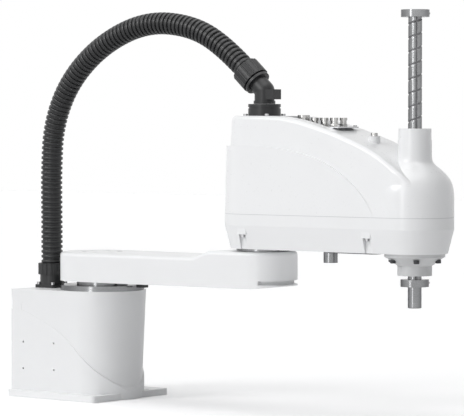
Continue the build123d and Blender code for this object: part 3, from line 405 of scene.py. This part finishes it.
SHAFT_R = 0.010
SHAFT_BORE = 0.0055
SHAFT_FOOT, SHAFT_HEAD = 0.165, 0.594
SHAFT_EDGE = 0.0008
SHAFT_SIDES = 120
SHAFT_STEP = 0.0009
SHAFT_SHARP = 35
SPLINE_ANGLES = (200, 320, 80)
SPLINE_FOOT = 0.196
SPLINE_BALL = 0.0019
BALL_PATH = 0.0107
LEAD = 0.020
SCREW_FOOT, SCREW_HEAD = 0.206, 0.583
SCREW_HALF = 0.0015
SCREW_DEPTH = 0.0009
# How far in, and from what height, the surface takes the darker steel that paints shade into the
# grooves
GROOVE_SHADE_DEPTH = 0.00035
GROOVE_SHADE_FOOT = 0.197


def spline_reach(angle):
    """Radius of the shaft at an angle, with its straight ball grooves."""
    reach = SHAFT_R
    for start in SPLINE_ANGLES:
        turn = (angle - radians(start) + pi) % (2 * pi) - pi
        aside = BALL_PATH * abs(sin(turn))
        if abs(turn) < pi / 2 and aside < SPLINE_BALL:
            reach = min(reach, BALL_PATH * cos(turn) - sqrt(SPLINE_BALL**2 - aside**2))
    return reach


def screw_reach(angle, level):
    """Radius of the shaft where its helical ball groove passes."""
    off = (level - LEAD * angle / (2 * pi) + LEAD / 2) % LEAD - LEAD / 2
    if not SCREW_FOOT < level < SCREW_HEAD or abs(off) > SCREW_HALF:
        return SHAFT_R
    return SHAFT_R - SCREW_DEPTH * sqrt(1 - (off / SCREW_HALF) ** 2)


def shaft_reach(angle, level):
    """Radius of the shaft's outside, with its grooves and bevelled ends."""
    reach = screw_reach(angle, level)
    if level > SPLINE_FOOT:
        reach = min(reach, spline_reach(angle))
    if level in (SHAFT_FOOT, SHAFT_HEAD):
        reach = min(reach, SHAFT_R - SHAFT_EDGE)
    return reach


def grooved_shaft():
    """Hollow shaft with a ball screw groove and straight spline grooves cut across it."""
    levels = [SHAFT_FOOT, SHAFT_FOOT + SHAFT_EDGE]
    while levels[-1] + SHAFT_STEP < SHAFT_HEAD - SHAFT_EDGE:
        levels.append(levels[-1] + SHAFT_STEP)
    levels += [SHAFT_HEAD - SHAFT_EDGE, SHAFT_HEAD]

    def ring_at(level, reach):
        return ring_of(Vector((TOOL_X, 0, level)), FORWARD, ASIDE, SHAFT_SIDES, reach)

    low, high = (ring_at(level, lambda angle: SHAFT_BORE) for level in (SHAFT_FOOT, SHAFT_HEAD))
    outside = [ring_at(level, lambda angle: shaft_reach(angle, level)) for level in levels]
    shaft = dress(new_mesh("grooved_shaft", *skin([low, *outside, high, low], capped=False)),
                  MATERIALS["ground_steel"], SHAFT_SHARP, "tool_spindle")
    shaft.data.materials.append(GROOVE_SHADE_STEEL)
    # Faces sunk into the grooves take the darker steel, as painted shade
    for face in shaft.data.polygons:
        out = hypot(face.center.x - TOOL_X, face.center.y)
        if out < SHAFT_R - GROOVE_SHADE_DEPTH and face.center.z > GROOVE_SHADE_FOOT:
            face.material_index = 1
    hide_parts("tool_shaft")


grooved_shaft()

# Fasteners and trim

ZINC = MATERIALS["screw_steel"]
PINCH_PLACE = Vector((TOOL_X + 0.0118, 0.0152, 0))
PINCH_HEIGHTS = {"lower_pinch_screw": 0.20125, "upper_pinch_screw": 0.58875}
SEAM_REAR_R, SEAM_NOSE_R = 0.0595, 0.0566
SEAM_STEPS = 48
# The strip's cross-section: how far in from the side, and how far up from the seam
SEAM_SHAPE = ((0.0004, -0.0005), (-0.00012, -0.00045), (-0.00012, 0.00045), (0.0004, 0.0005))
DECK_TOP = 0.426


def collar_screws():
    """Socket screw in each clamp collar, across its slit."""
    for name, height in PINCH_HEIGHTS.items():
        cap_heads(name, [(PINCH_PLACE + UP * height, FORWARD)], 0.0028, 0.002, ZINC, "tool_spindle")


def seam_strip():
    """Thin line of the joint between the casting and the cover, round the arm's two ends."""
    start = acos((SEAM_REAR_R - SEAM_NOSE_R) / (TOOL_X - ELBOW_X))
    steps = range(SEAM_STEPS + 1)
    path = [(ELBOW_X, SEAM_REAR_R, start + (2 * pi - 2 * start) * i / SEAM_STEPS) for i in steps]
    path += [(TOOL_X, SEAM_NOSE_R, -start + 2 * start * i / SEAM_STEPS) for i in steps]
    rings = []
    for x, radius, angle in path:
        out = Vector((cos(angle), sin(angle), 0))
        centre = Vector((x, 0, SEAM))
        rings.append([centre + out * (radius - inward) + UP * rise for inward, rise in SEAM_SHAPE])
    rings.append(rings[0])
    dress(new_mesh("seam_strip", *skin(rings, capped=False)), SEAM_LINE, HEAD_SHARP,
          "outer_arm")


def cover_screws():
    """Screws round the elbow gland, and at the corners of the deck."""
    gland = Vector((ELBOW_X, 0, COVER_TOP - 0.0004))
    cap_heads("gland_screws", ring_places(4, 0.0285, gland, 45, UP), 0.0033, 0.0034, ZINC, "outer_arm")
    corners = [(Vector((x, y, DECK_TOP)), UP) for x in (0.3855, 0.4785) for y in (-0.0205, 0.0205)]
    cap_heads("deck_screws", corners, 0.0026, 0.0022, ZINC, "outer_arm")


def flange_screws():
    """Dark screws that hold the spindle housing up under the nose."""
    flange = Vector((TOOL_X, 0, 0.2355))
    cap_heads("spindle_flange_screws", ring_places(6, 0.0375, flange, 9, DOWN), 0.0042, 0.005,
              MATERIALS["motor_black"], "outer_arm")


collar_screws()
seam_strip()
cover_screws()
flange_screws()

# CAD nodes: each takes the material of its slot, apart from two with a finish of their own

OWN = {"belly_plate": DARK_SEAL, "spindle_housing": CAST_GREY}
for entry in frame["record"]["subparts"]:
    piece = frame["nodes"][entry["node"]]
    piece.data.materials.clear()
    piece.data.materials.append(OWN.get(entry["node"], MATERIALS[entry["material_slot"]]))

# Stage and light

FLOOR_HALF = 9
FLOOR_DROP = 0.0004
FLOOR_LIFT = 0.23
WORLD_LEVEL = 0.2


def stage():
    """Pale floor that fades into the white background and keeps the shadow."""
    corners = [(-FLOOR_HALF, -FLOOR_HALF, 0), (FLOOR_HALF, -FLOOR_HALF, 0),
               (FLOOR_HALF, FLOOR_HALF, 0), (-FLOOR_HALF, FLOOR_HALF, 0)]
    floor = new_mesh("floor", corners, [(0, 1, 2, 3)])
    floor.location.z = -FLOOR_DROP
    made = bpy.data.materials.new("floor")
    made.use_nodes = True
    tree = made.node_tree
    shader = tree.nodes["Principled BSDF"]
    socket(shader, "Base Color", (0.93, 0.93, 0.935, 1))
    socket(shader, "Roughness", 0.75)
    socket(shader, "Specular IOR Level", 0.15)
    socket(shader, "Emission Color", (1, 1, 1, 1))
    rays = tree.nodes.new("ShaderNodeLightPath")
    lift = calculate(tree, "MULTIPLY", rays.outputs["Is Camera Ray"], FLOOR_LIFT)
    socket(shader, "Emission Strength", lift)
    floor.data.materials.append(made)


def world():
    """White surroundings for the eye, glass and reflections, at a lower level as a lamp."""
    made = bpy.data.worlds.new("world")
    bpy.context.scene.world = made
    made.use_nodes = True
    tree = made.node_tree
    tree.nodes.clear()
    seen = node(tree, "ShaderNodeBackground", Color=(1, 1, 1, 1), Strength=1.0)
    lamp = node(tree, "ShaderNodeBackground", Color=(0.98, 0.99, 1, 1), Strength=WORLD_LEVEL)
    rays = tree.nodes.new("ShaderNodeLightPath").outputs
    direct = calculate(tree, "MAXIMUM", rays["Is Camera Ray"], rays["Is Transmission Ray"])
    every = calculate(tree, "MAXIMUM", direct, rays["Is Glossy Ray"])
    mix = tree.nodes.new("ShaderNodeMixShader")
    for place, value in enumerate((every, lamp.outputs[0], seen.outputs[0])):
        socket(mix, place, value)
    node(tree, "ShaderNodeOutputWorld", Surface=mix.outputs[0])


def add_lamp(name, kind, toward, power):
    """A lamp that shines along a direction."""
    data = bpy.data.lights.new(name, kind)
    data.energy = power
    made = bpy.data.objects.new(name, data)
    bpy.context.scene.collection.objects.link(made)
    made.rotation_euler = Vector(toward).to_track_quat("-Z", "Y").to_euler()
    return made


def soft_lamp(name, toward, spread, strength):
    """Wide, even lamp, as large as a spread in degrees."""
    add_lamp(name, "SUN", toward, strength).data.angle = radians(spread)


def strip_lamp(place, width, height, power):
    """Tall upright lamp in front of the robot, for the bright streaks on the steel."""
    made = add_lamp("strip", "AREA", ASIDE, power)
    made.location = place
    made.data.shape = "RECTANGLE"
    made.data.size, made.data.size_y = width, height


stage()
world()
soft_lamp("key", (0.42, 0.8, -0.5), 28, 1.15)
strip_lamp((0.5, -3.2, 0.9), 0.35, 2.4, 16)
soft_lamp("top", (0.05, 0.1, -1), 60, 1.35)
bpy.context.scene.view_settings.view_transform = "Standard"
